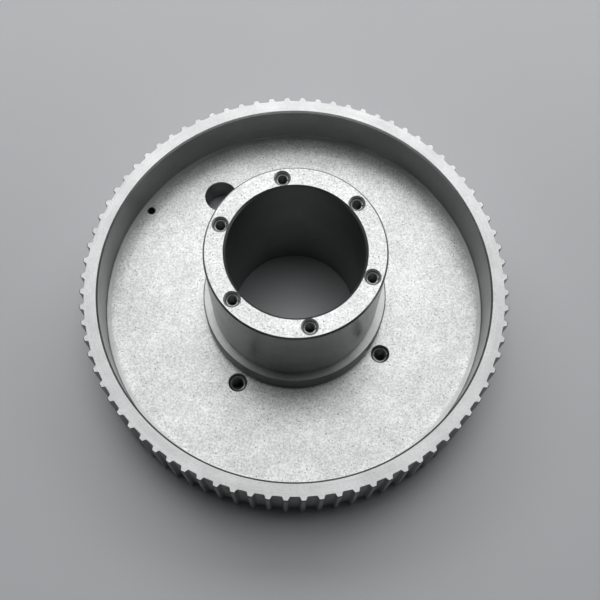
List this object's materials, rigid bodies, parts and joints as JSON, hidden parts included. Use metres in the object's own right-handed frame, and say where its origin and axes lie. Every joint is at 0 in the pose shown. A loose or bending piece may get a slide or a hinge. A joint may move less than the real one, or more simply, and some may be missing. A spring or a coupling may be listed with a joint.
{
  "type": "timing belt pulley",
  "caption": "Flangeless timing belt pulley: toothed rim, flat web and a tall hollow hub with threaded inserts in its end face and in the web.",
  "frame": {"origin": "on the pulley's axis, in the plane of its flat back face", "axes": "+Z along the axis, from the back face to the hub's end face; +X and +Y across the axis"},
  "size_m": [0.126, 0.126, 0.0505],
  "materials": {
    "anodised_aluminium": "bead-blasted and clear anodised, satin",
    "insert_wire": "bright drawn stainless wire"
  },
  "bodies": {
    "root": {"pulley_body": "anodised_aluminium", "hub_thread_insert_1": "insert_wire", "hub_thread_insert_2": "insert_wire", "hub_thread_insert_3": "insert_wire", "hub_thread_insert_4": "insert_wire", "hub_thread_insert_5": "insert_wire", "hub_thread_insert_6": "insert_wire", "web_thread_insert_1": "insert_wire", "web_thread_insert_2": "insert_wire", "web_thread_insert_3": "insert_wire", "web_thread_insert_4": "insert_wire"}
  },
  "joints": []
}
